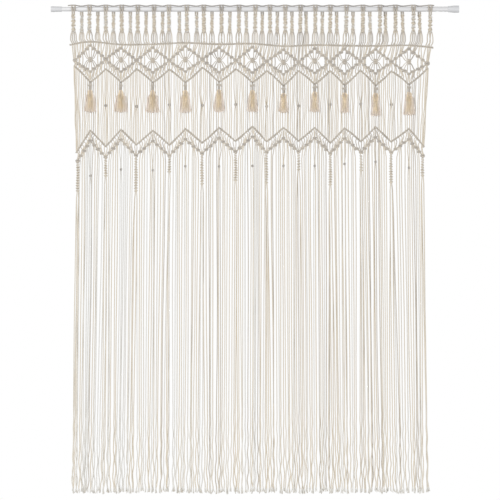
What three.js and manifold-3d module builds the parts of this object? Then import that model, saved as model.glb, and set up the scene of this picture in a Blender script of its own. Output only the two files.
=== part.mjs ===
// A macrame curtain that hangs on a telescoping rod.
//
// The curtain is knotted from 180 cords. It starts as 45 sinnets, folded over a mounting cord that
// lies on top of the rod, so that they hang by turns in front of the rod and behind it. Below them
// come a hitched bar, a row of diamonds, a thin zigzag with tassels, a tall band of straight cords,
// a second thin zigzag, a knotted zigzag and the long fringe.
//
// Millimetres, +Z up. The origin is midway along the rod's axis. The front of the curtain faces -Y.

import * as THREE from 'three';
import { mergeVertices } from 'three/addons/utils/BufferGeometryUtils.js';
import Module from 'manifold-3d';

const wasm = await Module();
wasm.setup();

// Driving dimensions of the rod
const ROD_LENGTH = 1489;
const OUTER_TUBE_R = 9.5;
const INNER_TUBE_R = 8;
const TUBE_WALL = 1;
const OUTER_TUBE_LEFT_END = -646;
const TUBE_LAP = 180;
const CAP_LENGTH = 40;
const CAP_SOCKET = 30;
const LEFT_CAP_R = 10.6;
const RIGHT_CAP_R = 13.1;
const CAP_LIP = 1.4;
const LEFT_CAP_SHOULDER = 6;
const RIGHT_CAP_SHOULDER = 18;
const ROD_SIDES = 18;
const CLEARANCE = 0.3;

// Driving dimensions of the curtain
const CORD = 3;
const ARM_DEPTH = 2.7;
const CORD_SEAT = 1.2;
const SINNETS = 45;
const FIRST_SINNET_X = -663;
const LAST_SINNET_X = 638;
const MOUNTING_CORD_Z = 12.6;
const MOUNTING_CORD_WEAVE = 8;
const MOUNTING_CORD_END = 10;
const BAR_LEFT = { x: -672, z: -130 };
const BAR_RIGHT = { x: 648, z: -144 };
const TIP_DROP = 12;
const CROSS_HALF = 1.5;
const DIAMOND_HALF_HEIGHT = 46;
const KNOTTED_DROP = 39;
const STRIP_CLEARANCE = 0.4;
const STRANDS_PER_LEG = 8;
const STRANDS_PER_SINNET = 4;
const STRAND_WIDTH = 3.2;
const SINNET_SPREAD = 70;
const SINNET_FOOT_SPREAD = 12;
const SINNET_FOOT_SEAT = 2;
const HEM_Z = -1764;
const HEM_UNEVEN = 7;
const HEM_SPREAD = 1.027;
const CURTAIN_MIDDLE_X = -17;
const TURN_OF_THIN_SINNET = 32;
const THIN_SINNET = { wide: 9, narrow: 6 };
const TASSEL_OUT = 9.2;
const TASSEL_NECK = 36;
const TASSEL_LOCKS = 7;

// One row for each of the 11 repeats, at its middle
// x: middle, bar: hitched bar, eye: centre knot, vee: low point of the first zigzag,
// crest: high point of the second zigzag, skirt: tassel's width, foot: tassel's lower end
const repeats = [
  { x: -601, bar: -119, eye: -184, vee: -267, crest: -441, skirt: 47, foot: -377 },
  { x: -489, bar: -129, eye: -185, vee: -268, crest: -437, skirt: 54, foot: -377 },
  { x: -373, bar: -128, eye: -187, vee: -268, crest: -441, skirt: 54, foot: -379 },
  { x: -254, bar: -123, eye: -184, vee: -268, crest: -435, skirt: 47, foot: -379 },
  { x: -131, bar: -128, eye: -186, vee: -266, crest: -431, skirt: 44, foot: -376 },
  { x: -9, bar: -126, eye: -187, vee: -268, crest: -426, skirt: 44, foot: -376 },
  { x: 104, bar: -135, eye: -194, vee: -280, crest: -431, skirt: 38, foot: -379 },
  { x: 218, bar: -131, eye: -189, vee: -274, crest: -431, skirt: 40, foot: -376 },
  { x: 327, bar: -133, eye: -192, vee: -278, crest: -432, skirt: 36, foot: -379 },
  { x: 440, bar: -134, eye: -191, vee: -279, crest: -428, skirt: 40, foot: -390 },
  { x: 562, bar: -132, eye: -192, vee: -275, crest: -435, skirt: 47, foot: -388 },
];

// One row for each place between repeats, and for the two side edges
// x: place, lower: place below the second zigzag, cross: where the diamonds meet,
// peak: high point of the first zigzag, low: low point of the second, end: the thin sinnet's end
const valleys = [
  { x: -656, lower: -647, cross: -188, peak: -210, low: -514, end: -663 },
  { x: -545, lower: -545, cross: -183, peak: -218, low: -500, end: -608 },
  { x: -432, lower: -434, cross: -188, peak: -218, low: -494, end: -663 },
  { x: -313, lower: -312, cross: -188, peak: -219, low: -495, end: -593 },
  { x: -192, lower: -193, cross: -184, peak: -213, low: -487, end: -637 },
  { x: -70, lower: -71, cross: -188, peak: -218, low: -481, end: -624 },
  { x: 43, lower: 42, cross: -192, peak: -224, low: -482, end: -633 },
  { x: 159, lower: 159, cross: -195, peak: -225, low: -480, end: -585 },
  { x: 274, lower: 275, cross: -193, peak: -225, low: -487, end: -640 },
  { x: 385, lower: 387, cross: -191, peak: -223, low: -482, end: -588 },
  { x: 498, lower: 497, cross: -193, peak: -226, low: -483, end: -631 },
  { x: 628, lower: 612, cross: -200, peak: -219, low: -495, end: -607 },
];

const LEGS = 2 * repeats.length;

// Knotted lines: height, depth at a knot and between knots, and steps along a leg
const HITCHED = { high: 4.6, deep: 5.6, notch: 4.2, steps: 2 };
const SQUARE_KNOTS = { high: 8, deep: 7, notch: 4.6, steps: 3 };
const LOWER_SQUARE_KNOTS = { ...SQUARE_KNOTS, deep: 6.6 };
const WEB = { deep: 4, notch: 2.4 };

// Flat bundles of cords: their widths, and how far from a repeat's middle those in a diamond end
const TOP_BUNDLES = { edge: 7, tip: 14, middle: 17, inset: 6 };
const DIAMOND_ARM = { reach: 27, width: 9, offMiddle: 3, offEye: 4 };
const DIAMOND_SIDE = { reach: 42, width: 8 };
const LOWER_BUNDLES = { width: 23, places: [0.25, 0.75], lean: 0.08 };
const TALL_BAND = { cordsPerLeg: 4, inset: 0.03, pair: 1.8 };

// A top sinnet from its top down: out is how far it stands from the curtain's middle plane
const topSinnetRings = [
  { out: 9.5, z: 15, width: 12, depth: 7 },
  { out: 14.6, z: 0, width: 17, depth: 8.8 },
  { out: 3.5, z: -84, width: 15, depth: 8 },
];
const TOP_SINNET_FOOT = 21;
const BACK_SINNET_NARROWER = 2;

// The large knot in a diamond, from its top down: dz is the height above the diamond's eye
const eyeKnotRings = [
  { dz: 12, width: 8, depth: 5 },
  { dz: 5, width: 18, depth: 8.5 },
  { dz: 0, width: 15, depth: 7 },
  { dz: -5, width: 18, depth: 8.5 },
  { dz: -12, width: 8, depth: 5 },
];

// A tassel's head, from its loop down to its neck's foot: dz is the height above the zigzag's low point
const tasselHeadRings = [
  { dy: 1.5, dz: 3, width: 7, depth: 9 },
  { dy: 0, dz: -8, width: 15, depth: 11 },
  { dy: 0, dz: -17, width: 8, depth: 8 },
  { dy: 0, dz: -24, width: 12, depth: 11 },
  { dy: 0, dz: -TASSEL_NECK, width: 20, depth: 11 },
];
const LOCK_ROOT = { spread: 13, size: 2.8, row: 1.6, seat: 1 };
const LOCK_END = { width: 7, depth: 6, row: 2.2, rise: 16 };

// A number between -1 and 1 that is uneven from one n to the next, and the same in each run
function uneven(n, salt = 0) {
  const wave = Math.sin(n * 12.9898 + salt * 78.233) * 43758.5453;
  return 2 * (wave - Math.floor(wave)) - 1;
}

// A line across the curtain: its corners, and its height at any x
function line(corners) {
  const at = (x) => {
    let i = 1;
    while (i < corners.length - 1 && corners[i].x < x) i += 1;
    const a = corners[i - 1];
    const b = corners[i];
    return a.z + ((x - a.x) / (b.x - a.x)) * (b.z - a.z);
  };
  return { corners, at };
}

// A zigzag with one corner at each valley and one at each repeat's middle
function zigzag(valleyHeight, middleHeight, valleyPlace = (v) => v.x) {
  const corners = [];
  valleys.forEach((v, i) => {
    corners.push({ x: valleyPlace(v), z: valleyHeight(v) });
    if (i < repeats.length) corners.push({ x: repeats[i].x, z: middleHeight(repeats[i]) });
  });
  return line(corners);
}

const lowerPlace = (v) => v.lower;
const bar = line([BAR_LEFT, ...repeats.map((r) => ({ x: r.x, z: r.bar })), BAR_RIGHT]);
const diamondTops = zigzag((v) => v.cross + CROSS_HALF, (r) => r.bar - TIP_DROP);
const diamondFeet = zigzag((v) => v.cross - CROSS_HALF, (r) => r.eye - DIAMOND_HALF_HEIGHT);
const firstZigzag = zigzag((v) => v.peak, (r) => r.vee);
const secondZigzag = zigzag((v) => v.low, (r) => r.crest, lowerPlace);
const knottedZigzag = zigzag((v) => v.low - KNOTTED_DROP, (r) => r.crest - KNOTTED_DROP, lowerPlace);

// Place across the curtain, counted in legs of a line. On a zigzag, even corners are valleys and odd
// ones are middles
function across({ corners }, legs) {
  const i = Math.min(Math.max(Math.floor(legs), 0), corners.length - 2);
  return corners[i].x + (legs - i) * (corners[i + 1].x - corners[i].x);
}

// A closed solid through rings of points, with a flat cap on each end
function loft(rings) {
  const sides = rings[0].length;
  const positions = rings.flat(2);
  const index = [];
  for (let r = 0; r < rings.length - 1; r += 1) {
    for (let s = 0; s < sides; s += 1) {
      const a = r * sides + s;
      const b = r * sides + ((s + 1) % sides);
      index.push(a, b, b + sides, a, b + sides, a + sides);
    }
  }
  const last = (rings.length - 1) * sides;
  for (let s = 1; s < sides - 1; s += 1) {
    index.push(0, s + 1, s);
    index.push(last, last + s, last + s + 1);
  }
  const geometry = new THREE.BufferGeometry();
  geometry.setAttribute('position', new THREE.Float32BufferAttribute(positions, 3));
  geometry.setIndex(index);
  return geometry;
}

// A level ring of an upright loft, for lofts that run downwards
function levelRing({ x, y, z, width, depth, sides = 4, turn = 0 }) {
  const angles = Array.from({ length: sides }, (_, s) => turn - ((s + 0.5) * 2 * Math.PI) / sides);
  const wide = Math.max(...angles.map((angle) => Math.abs(Math.cos(angle))));
  const deep = Math.max(...angles.map((angle) => Math.abs(Math.sin(angle))));
  return angles.map((angle) => [
    x + ((width / 2) * Math.cos(angle)) / wide,
    y + ((depth / 2) * Math.sin(angle)) / deep,
    z,
  ]);
}

// How much longer an upright cut through a line is than a square cut
function steepness(path) {
  const [, a, b] = path.corners;
  return Math.hypot(1, (b.z - a.z) / (b.x - a.x));
}

// A knotted line: a bar of four sides that follows a line, thick at its knots and thin between them
function knottedLine(path, { high, deep, notch, steps }) {
  const half = (high / 2) * steepness(path);
  const rings = [];
  for (let n = 0; n <= steps * (path.corners.length - 1); n += 1) {
    const x = across(path, n / steps);
    const z = path.at(x);
    const y = (n % 2 ? notch : deep) / 2;
    rings.push([
      [x, y, z - half],
      [x, y, z + half],
      [x, -y, z + half],
      [x, -y, z - half],
    ]);
  }
  return loft(rings);
}

// A flat bundle of cords from a line down to the next, cut to both lines' slopes
function bundle(upper, lower, xTop, xBottom, width) {
  const half = width / 2;
  const shape = new THREE.Shape();
  shape.moveTo(xTop - half, upper.at(xTop - half));
  shape.lineTo(xBottom - half, lower.at(xBottom - half));
  shape.lineTo(xBottom + half, lower.at(xBottom + half));
  shape.lineTo(xTop + half, upper.at(xTop + half));
  const geometry = new THREE.ExtrudeGeometry(shape, { depth: CORD, bevelEnabled: false });
  geometry.translate(0, 0, -CORD / 2);
  geometry.rotateX(Math.PI / 2);
  return geometry;
}

// A bundle from one point to another, with square ends
function arm(from, to, width) {
  const length = Math.hypot(to.x - from.x, to.z - from.z);
  const geometry = new THREE.BoxGeometry(width, ARM_DEPTH, length);
  geometry.rotateY(Math.atan2(to.x - from.x, to.z - from.z));
  geometry.translate((from.x + to.x) / 2, 0, (from.z + to.z) / 2);
  return geometry;
}

// A hanging cord, or a flat bundle of cords, with three sides
function hangingCord(points, width, depth = width) {
  const section = new THREE.Shape();
  for (let s = 0; s < 3; s += 1) {
    const angle = (s * 2 * Math.PI) / 3;
    const x = (depth / 1.5) * Math.cos(angle);
    const y = (width / Math.sqrt(3)) * Math.sin(angle);
    if (s === 0) section.moveTo(x, y);
    else section.lineTo(x, y);
  }
  const path = new THREE.CatmullRomCurve3(points);
  return new THREE.ExtrudeGeometry(section, { steps: points.length - 1, extrudePath: path });
}

// Fuses closed geometries into one closed geometry
function fuse(geometries) {
  const solids = geometries.map((geometry) => {
    geometry.deleteAttribute('normal');
    geometry.deleteAttribute('uv');
    const merged = mergeVertices(geometry, 1e-4);
    const vertProperties = new Float32Array(merged.attributes.position.array);
    const triVerts = new Uint32Array(merged.index.array);
    return new wasm.Manifold(new wasm.Mesh({ numProp: 3, vertProperties, triVerts }));
  });
  const mesh = wasm.Manifold.union(solids).getMesh();
  const fused = new THREE.BufferGeometry();
  fused.setAttribute('position', new THREE.BufferAttribute(new Float32Array(mesh.vertProperties), 3));
  fused.setIndex(new THREE.BufferAttribute(new Uint32Array(mesh.triVerts), 1));
  fused.computeVertexNormals();
  return fused;
}

// The sinnets hang by turns in front of the rod (side -1) and behind it (side 1)
const sinnetSide = (i) => (i % 2 === 0 ? -1 : 1);
const sinnetX = (i) => FIRST_SINNET_X + (i / (SINNETS - 1)) * (LAST_SINNET_X - FIRST_SINNET_X);
const sinnetTopX = (i) => sinnetX(i) + 2 * uneven(i);

function topSinnet(i) {
  const side = sinnetSide(i);
  const narrower = side < 0 ? 0 : BACK_SINNET_NARROWER;
  const rings = topSinnetRings.map(({ out, z, width, depth }, n) => {
    const lessWide = n === 0 ? 0 : narrower;
    return { x: sinnetTopX(i), y: side * out, z, width: width - lessWide, depth };
  });
  const foot = sinnetX(i);
  rings.push({ x: foot, y: 0, z: bar.at(foot), width: TOP_SINNET_FOOT, depth: CORD });
  return loft(rings.map(levelRing));
}

// The mounting cord lies over the top of the rod and weaves from sinnet to sinnet
function mountingCord() {
  const half = CORD / 2;
  const z = MOUNTING_CORD_Z;
  const rings = [];
  for (let i = 0; i < SINNETS; i += 1) {
    let x = sinnetTopX(i);
    if (i === 0) x -= MOUNTING_CORD_END;
    if (i === SINNETS - 1) x += MOUNTING_CORD_END;
    const y = MOUNTING_CORD_WEAVE * sinnetSide(i);
    rings.push([
      [x, y + half, z - half],
      [x, y + half, z + half],
      [x, y - half, z + half],
      [x, y - half, z - half],
    ]);
  }
  return loft(rings);
}

// Cords between the hitched bar and the diamonds: one at each tip, three between tips
function cordsAboveDiamonds() {
  const { edge, tip, middle, inset } = TOP_BUNDLES;
  const firstX = across(diamondTops, 0);
  const lastX = across(diamondTops, LEGS);
  const cords = [
    bundle(bar, diamondTops, BAR_LEFT.x + inset, firstX, edge),
    bundle(bar, diamondTops, BAR_RIGHT.x - inset, lastX, edge),
  ];
  for (let leg = 0; leg < LEGS; leg += 1) {
    const x = across(diamondTops, leg);
    const between = across(diamondTops, leg + 0.5);
    if (leg > 0) cords.push(bundle(bar, diamondTops, x, x, tip));
    cords.push(bundle(bar, diamondTops, between, between, middle));
  }
  return cords;
}

// The large knot in the middle of a diamond, with the cords that run to it from the four sides
function diamondMiddle({ x, eye }) {
  const knot = loft(eyeKnotRings.map(({ dz, ...ring }) => levelRing({ x, y: 0, z: eye + dz, ...ring })));
  const pieces = [knot];
  const { reach, width, offMiddle, offEye } = DIAMOND_ARM;
  for (const side of [-1, 1]) {
    const rootX = x + side * offMiddle;
    const armX = x + side * reach;
    const sideX = x + side * DIAMOND_SIDE.reach;
    pieces.push(arm({ x: rootX, z: eye + offEye }, { x: armX, z: diamondTops.at(armX) }, width));
    pieces.push(arm({ x: rootX, z: eye - offEye }, { x: armX, z: diamondFeet.at(armX) }, width));
    pieces.push(bundle(diamondTops, diamondFeet, sideX, sideX, DIAMOND_SIDE.width));
  }
  return pieces;
}

// Cords between the diamonds and the first zigzag lean towards its high points
function cordsBelowDiamonds() {
  const { width, places, lean } = LOWER_BUNDLES;
  const cords = [];
  for (let leg = 0; leg < LEGS; leg += 1) {
    const halfLean = (leg % 2 === 0 ? -lean : lean) / 2;
    for (const place of places) {
      const top = across(diamondFeet, leg + place - halfLean);
      const foot = across(firstZigzag, leg + place + halfLean);
      cords.push(bundle(diamondFeet, firstZigzag, top, foot, width));
    }
  }
  return cords;
}

// The straight cords of the tall band, two real cords to each, and one where the first leg is steep
function cordsOfTallBand() {
  const { cordsPerLeg, inset, pair } = TALL_BAND;
  const cords = [];
  for (let n = 0; n <= cordsPerLeg * LEGS + 1; n += 1) {
    const legs = Math.min(Math.max((n - 0.5) / cordsPerLeg, inset), LEGS - inset);
    const top = across(firstZigzag, legs);
    const foot = across(secondZigzag, legs);
    const points = [
      new THREE.Vector3(top, 0, firstZigzag.at(top)),
      new THREE.Vector3(foot, 0, secondZigzag.at(foot)),
    ];
    cords.push(hangingCord(points, legs < 1 ? CORD : pair * CORD, CORD));
  }
  return cords;
}

// The knotted panel, from the mounting cord down to the second zigzag
function knottedPanel() {
  const pieces = [mountingCord(), knottedLine(bar, HITCHED)];
  for (let i = 0; i < SINNETS; i += 1) pieces.push(topSinnet(i));
  pieces.push(knottedLine(diamondTops, SQUARE_KNOTS));
  pieces.push(knottedLine(diamondFeet, LOWER_SQUARE_KNOTS));
  pieces.push(knottedLine(firstZigzag, HITCHED));
  pieces.push(knottedLine(secondZigzag, HITCHED));
  pieces.push(...cordsAboveDiamonds(), ...cordsBelowDiamonds(), ...cordsOfTallBand());
  repeats.forEach((repeat) => pieces.push(...diamondMiddle(repeat)));
  return fuse(pieces);
}

// The thin twisted sinnet that hangs under a low point of the knotted zigzag
function thinSinnet({ lower, low, end }) {
  const top = low - KNOTTED_DROP;
  const turns = Math.max(2, Math.round((top - end) / TURN_OF_THIN_SINNET));
  const rings = [];
  for (let n = 0; n <= turns; n += 1) {
    const z = top + (n / turns) * (end - top);
    const size = n % 2 ? THIN_SINNET.narrow : THIN_SINNET.wide;
    rings.push(levelRing({ x: lower, y: 0, z, width: size, depth: size, turn: (n * Math.PI) / 4 }));
  }
  return loft(rings);
}

// Where a long cord of the fringe hangs at the hem, a little unevenly
function hemPoint(n, x) {
  const spread = CURTAIN_MIDDLE_X + (x - CURTAIN_MIDDLE_X) * HEM_SPREAD;
  const z = HEM_Z + HEM_UNEVEN * uneven(n, 3);
  return new THREE.Vector3(spread + 1.2 * uneven(n, 1), 3 * uneven(n, 5), z);
}

// The strip under the second zigzag: leaning cords side by side, and the knotted zigzag at their foot
function knottedStrip() {
  const gap = (HITCHED.high / 2 + STRIP_CLEARANCE) * steepness(secondZigzag);
  const { high, deep, notch, steps } = SQUARE_KNOTS;
  const rings = [];
  for (let n = 0; n <= steps * LEGS; n += 1) {
    const x = across(secondZigzag, n / steps);
    const web = (n % 2 ? WEB.notch : WEB.deep) / 2;
    const knot = (n % 2 ? notch : deep) / 2;
    const top = secondZigzag.at(x) - gap;
    const foot = knottedZigzag.at(x) - high / 2;
    const knee = foot + high;
    rings.push([
      [x, web, top],
      [x, -web, top],
      [x, -knot, knee],
      [x, -knot, foot],
      [x, knot, foot],
      [x, knot, knee],
    ]);
  }
  return loft(rings);
}

// The fringe: cords straight down from the knotted zigzag, and four from the foot of each thin sinnet
function fringe() {
  const pieces = [knottedStrip(), ...valleys.map(thinSinnet)];
  const cords = STRANDS_PER_LEG * LEGS + STRANDS_PER_SINNET;
  for (let n = 0; n < cords; n += 1) {
    const legs = (n - (STRANDS_PER_SINNET - 1) / 2) / STRANDS_PER_LEG;
    const x = across(knottedZigzag, legs);
    const hem = hemPoint(n, x);
    const nearest = Math.round(legs / 2);
    const offset = legs - 2 * nearest;
    if (Math.abs(offset) < STRANDS_PER_SINNET / 2 / STRANDS_PER_LEG) {
      const { lower, end } = valleys[nearest];
      const root = new THREE.Vector3(lower + SINNET_FOOT_SPREAD * offset, 0, end + SINNET_FOOT_SEAT);
      pieces.push(hangingCord([root, new THREE.Vector3(x, 0, end - SINNET_SPREAD), hem], STRAND_WIDTH));
    } else {
      const root = new THREE.Vector3(x, 0, knottedZigzag.at(x) - CORD_SEAT);
      pieces.push(hangingCord([root, hem], STRAND_WIDTH));
    }
  }
  return fuse(pieces);
}

// A lock of a tassel's skirt, by its place across the tassel from -0.5 to 0.5 and its row
function lock({ x, vee, skirt, foot }, place, row) {
  const { spread, size, row: rootRow, seat } = LOCK_ROOT;
  const { width, depth, row: endRow, rise } = LOCK_END;
  const rings = [
    { x: x + place * spread, y: row * rootRow, z: vee - TASSEL_NECK + seat, width: size, depth: size },
    { x: x + place * (skirt - width), y: row * endRow, z: foot + rise * place * place, width, depth },
  ];
  return loft(rings.map((ring) => levelRing({ ...ring, y: ring.y - TASSEL_OUT, sides: 3 })));
}

// A tassel: a loop knot over the low point, a wrapped neck, and a flared skirt of locks
function tassel(repeat) {
  const { x, vee } = repeat;
  const head = tasselHeadRings.map(({ dy, dz, ...ring }) =>
    levelRing({ x, y: dy - TASSEL_OUT, z: vee + dz, sides: 6, ...ring })
  );
  const pieces = [loft(head)];
  for (let k = 0; k < TASSEL_LOCKS; k += 1) {
    pieces.push(lock(repeat, k / (TASSEL_LOCKS - 1) - 0.5, k % 2 ? 1 : -1));
  }
  return fuse(pieces);
}

// A tube along X from a left end to a right end
function tube(outerR, innerR, left, right) {
  const profile = [
    new THREE.Vector2(innerR, left),
    new THREE.Vector2(outerR, left),
    new THREE.Vector2(outerR, right),
    new THREE.Vector2(innerR, right),
    new THREE.Vector2(innerR, left),
  ];
  return alongX(new THREE.LatheGeometry(profile, ROD_SIDES));
}

// Turns a lathed shape from the Y axis onto the X axis
function alongX(geometry) {
  geometry.rotateZ(-Math.PI / 2);
  return geometry;
}

// An end cap: a cup over the end of a tube, wide at its flat face and tapering to its lip
function endCap(faceR, tubeR, shoulder) {
  const lipR = tubeR + CAP_LIP;
  const socketR = tubeR + CLEARANCE;
  const profile = [
    new THREE.Vector2(0, 0),
    new THREE.Vector2(faceR, 0),
    new THREE.Vector2(faceR, shoulder),
    new THREE.Vector2(lipR, CAP_LENGTH),
    new THREE.Vector2(socketR, CAP_LENGTH),
    new THREE.Vector2(socketR, CAP_LENGTH - CAP_SOCKET),
    new THREE.Vector2(0, CAP_LENGTH - CAP_SOCKET),
  ];
  return alongX(new THREE.LatheGeometry(profile, ROD_SIDES));
}

const rodEnamel = new THREE.MeshStandardMaterial({ color: 0xe9ebee, roughness: 0.35, metalness: 0.1 });
const capPlastic = new THREE.MeshStandardMaterial({ color: 0xe4e6ea, roughness: 0.5, metalness: 0 });
const creamCotton = new THREE.MeshStandardMaterial({ color: 0xe9e2d4, roughness: 0.95, metalness: 0 });
const warmCotton = new THREE.MeshStandardMaterial({ color: 0xdcc7a2, roughness: 0.95, metalness: 0 });

const curtain = new THREE.Group();

function add(name, geometry, material, parent = curtain) {
  const mesh = new THREE.Mesh(geometry, material);
  mesh.name = name;
  parent.add(mesh);
  return mesh;
}

const rodEnd = ROD_LENGTH / 2;
const socketFloor = rodEnd - (CAP_LENGTH - CAP_SOCKET) - CLEARANCE;
const rod = new THREE.Group();
curtain.add(rod);
const outerTube = tube(OUTER_TUBE_R, OUTER_TUBE_R - TUBE_WALL, OUTER_TUBE_LEFT_END, socketFloor);
const innerTube = tube(INNER_TUBE_R, INNER_TUBE_R - TUBE_WALL, -socketFloor, OUTER_TUBE_LEFT_END + TUBE_LAP);
add('rod_outer_tube', outerTube, rodEnamel, rod);
add('rod_inner_tube', innerTube, rodEnamel, rod);
const leftCap = endCap(LEFT_CAP_R, INNER_TUBE_R, LEFT_CAP_SHOULDER);
const rightCap = endCap(RIGHT_CAP_R, OUTER_TUBE_R, RIGHT_CAP_SHOULDER);
add('rod_cap_left', leftCap, capPlastic, rod).position.x = -rodEnd;
const right = add('rod_cap_right', rightCap, capPlastic, rod);
right.position.x = rodEnd;
right.rotation.y = Math.PI;

add('macrame_panel', knottedPanel(), creamCotton);
add('fringe', fringe(), creamCotton);
repeats.forEach((repeat, i) => {
  add(`tassel_${String(i + 1).padStart(2, '0')}`, tassel(repeat), warmCotton);
});

export default curtain;
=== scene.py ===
# %% [markdown]
# # A macrame curtain on a telescoping rod
#
# A macrame curtain is nothing but cord and knots. Cotton cords are folded in half over a thin mounting cord,
# so that 180 halves hang from it, and each half is called a cord here. They are tied into sinnets that hang
# in front of the rod and behind it, then into a hitched bar, a row of diamonds, two thin zigzags with
# tassels between them, and a last knotted zigzag with a long fringe.
#
# The CAD frame gives the real sizes. This lesson remakes each part of it in fine cords, one step a cell.

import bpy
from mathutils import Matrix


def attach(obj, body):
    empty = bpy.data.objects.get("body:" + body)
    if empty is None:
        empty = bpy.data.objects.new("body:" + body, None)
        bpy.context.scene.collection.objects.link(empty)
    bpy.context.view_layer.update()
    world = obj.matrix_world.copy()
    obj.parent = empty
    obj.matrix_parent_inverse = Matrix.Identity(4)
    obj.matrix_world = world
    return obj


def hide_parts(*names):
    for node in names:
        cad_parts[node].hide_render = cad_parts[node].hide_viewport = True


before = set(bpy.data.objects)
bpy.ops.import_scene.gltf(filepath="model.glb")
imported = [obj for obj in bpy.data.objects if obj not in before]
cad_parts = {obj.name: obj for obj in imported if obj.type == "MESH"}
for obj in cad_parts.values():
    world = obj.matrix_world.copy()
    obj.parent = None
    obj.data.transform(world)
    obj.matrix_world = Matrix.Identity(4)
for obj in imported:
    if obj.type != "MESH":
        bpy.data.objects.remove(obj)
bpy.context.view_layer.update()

# %% Tools for the whole lesson
from collections import namedtuple
from math import cos, floor, hypot, pi, radians, sin
from random import Random

import bmesh
import bpy
from mathutils import Vector

MM = 0.001
scene = bpy.context.scene
scene.view_settings.view_transform = "Standard"


def show(name, data):
    """Puts an object at the origin, unturned and unscaled, into the scene"""
    made = bpy.data.objects.new(name, data)
    scene.collection.objects.link(made)
    return made


def clamp(value, low=0.0, high=1.0):
    """The value, kept between two limits"""
    return min(max(value, low), high)


# %% Node helpers
def plug(tree, node, label, value):
    """Sets a node's input by its name or number, to a value or to another node's output"""
    if isinstance(label, int):
        socket = node.inputs[label]
    else:
        socket = next(s for s in node.inputs if s.name == label and s.enabled)
    if isinstance(value, bpy.types.NodeSocket):
        tree.links.new(value, socket)
    else:
        socket.default_value = value


def add_node(tree, kind, inputs=None, **settings):
    """Adds a node with its settings and inputs, and returns its first output that is in use"""
    made = tree.nodes.new(kind)
    for key, value in settings.items():
        setattr(made, key, value)
    for label, value in (inputs or {}).items():
        plug(tree, made, label, value)
    return next((s for s in made.outputs if s.enabled), made)


def maths(tree, operation, *values):
    """A maths node, for shaders and for geometry"""
    return add_node(tree, "ShaderNodeMath", dict(enumerate(values)), operation=operation)


def new_finish(name, settings):
    """A material, its node tree and its shader, with the shader's own sockets set"""
    made = bpy.data.materials.new(name)
    made.use_nodes = True
    shader = made.node_tree.nodes["Principled BSDF"]
    for label, value in settings.items():
        shader.inputs[label].default_value = value
    return made, made.node_tree, shader


def noise(tree, scale, detail):
    """Noise that lies still on the object"""
    place = tree.nodes.new("ShaderNodeTexCoord").outputs["Object"]
    return add_node(tree, "ShaderNodeTexNoise", {"Vector": place, "Scale": scale, "Detail": detail})


def dress(tree, shader, colour, relief, strength, depth):
    """Gives a shader its colour and its relief"""
    bump = {"Height": relief, "Strength": strength, "Distance": depth}
    plug(tree, shader, "Base Color", colour)
    plug(tree, shader, "Normal", add_node(tree, "ShaderNodeBump", bump))


# %% [markdown]
# ## Camera, light and floor
#
# The picture was taken square on, from some way off, so the camera looks along +Y with a long lens. The
# lens follows from the width of curtain that fits across the picture. A wide soft light from the upper left
# and a weaker one from the right model the cords, a third one lights the back, and a white world lights the
# gaps between them.

# %% Camera
PICTURE_PIXELS = 500
METRES_PER_PIXEL = 3.65 * MM
CAMERA_DISTANCE = 8.0
VIEW_MIDDLE = Vector((-18 * MM, 0, -879 * MM))
SENSOR_WIDTH = 36.0

lens = bpy.data.cameras.new("camera")
lens.sensor_width = SENSOR_WIDTH
lens.lens = SENSOR_WIDTH * CAMERA_DISTANCE / (PICTURE_PIXELS * METRES_PER_PIXEL)
camera = show("camera", lens)
camera.location = VIEW_MIDDLE + Vector((0, -CAMERA_DISTANCE, 0))
camera.rotation_euler = (radians(90), 0, 0)
scene.camera = camera
print("lens", round(lens.lens, 1), "mm")


# %% Lights and world
def soft_light(name, place, size, power):
    """A square area light, in metres and watts, that faces the middle of the view"""
    data = bpy.data.lights.new(name, "AREA")
    data.size = size
    data.energy = power
    made = show(name, data)
    made.location = place
    made.rotation_euler = (VIEW_MIDDLE - Vector(place)).to_track_quat("-Z", "Y").to_euler()


soft_light("key_light", (-2.6, -6.2, 0.6), 1.6, 205)
soft_light("fill_light", (3.4, -5.6, -1.2), 2.4, 98)
soft_light("back_light", (2.4, 6.4, -0.2), 2.4, 110)

WHITE = (1, 1, 1, 1)
WORLD_LIGHT = 0.42
world = bpy.data.worlds.new("studio")
scene.world = world
world.use_nodes = True
sky = world.node_tree
sky.nodes.clear()
rays = sky.nodes.new("ShaderNodeLightPath").outputs
seen = maths(sky, "MAXIMUM", rays["Is Camera Ray"], rays["Is Glossy Ray"])
lit = add_node(sky, "ShaderNodeBackground", {"Color": WHITE, "Strength": WORLD_LIGHT})
white = add_node(sky, "ShaderNodeBackground", {"Color": WHITE, "Strength": 1.0})
add_node(sky, "ShaderNodeOutputWorld", {0: add_node(sky, "ShaderNodeMixShader", {0: seen, 1: lit, 2: white})})

# %% Floor
FLOOR_Z = -1.9
FLOOR_HALF_WIDTH = 1.7
FLOOR_HALF_DEPTH = 0.85

floor_mesh = bpy.data.meshes.new("floor")
sides = ((-1, -1), (1, -1), (1, 1), (-1, 1))
corners = [(x * FLOOR_HALF_WIDTH, y * FLOOR_HALF_DEPTH, FLOOR_Z) for x, y in sides]
floor_mesh.from_pydata(corners, [], [(0, 1, 2, 3)])
floor_finish = new_finish("pale_floor", {"Base Color": (0.9, 0.9, 0.89, 1), "Roughness": 0.8})
floor_mesh.materials.append(floor_finish[0])
show("floor", floor_mesh)
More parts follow.
